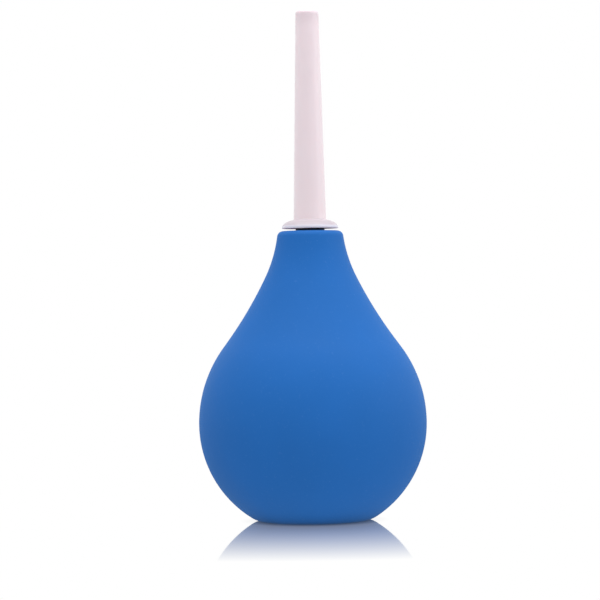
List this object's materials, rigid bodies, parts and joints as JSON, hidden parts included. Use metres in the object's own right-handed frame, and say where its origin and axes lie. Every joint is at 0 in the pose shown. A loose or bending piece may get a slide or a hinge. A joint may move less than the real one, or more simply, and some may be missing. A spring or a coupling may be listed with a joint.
{
  "type": "bulb syringe",
  "caption": "Hand squeeze bulb syringe: a hollow pear-shaped rubber bulb that stands on its base, with a tapered hollow plastic nozzle plugged into its neck over a sealing ring.",
  "frame": {"origin": "centre of the ring under the base that the bulb stands on", "axes": "+Z along the common axis of bulb and nozzle, from the base to the nozzle's tip; the part is round about it, so +X and +Y are free"},
  "size_m": [0.088, 0.088, 0.1967],
  "materials": {
    "bulb_rubber": "matte",
    "seal_rubber": "matte",
    "nozzle_plastic": "satin"
  },
  "bodies": {
    "bulb": {"bulb": "bulb_rubber"},
    "mouth": {"mouth_seal": "seal_rubber"},
    "nozzle": {"nozzle": "nozzle_plastic"}
  },
  "joints": [
    {"name": "bulb_squeeze", "type": "slide", "parent": "bulb", "child": "mouth", "axis": [0, 0, -1], "range_m": [0, 0.028], "stiffness_N_per_m": 700, "deforming": ["bulb"]},
    {"name": "nozzle_pull", "type": "slide", "parent": "mouth", "child": "nozzle", "axis": [0, 0, 1], "range_m": [0, 0.03]}
  ]
}
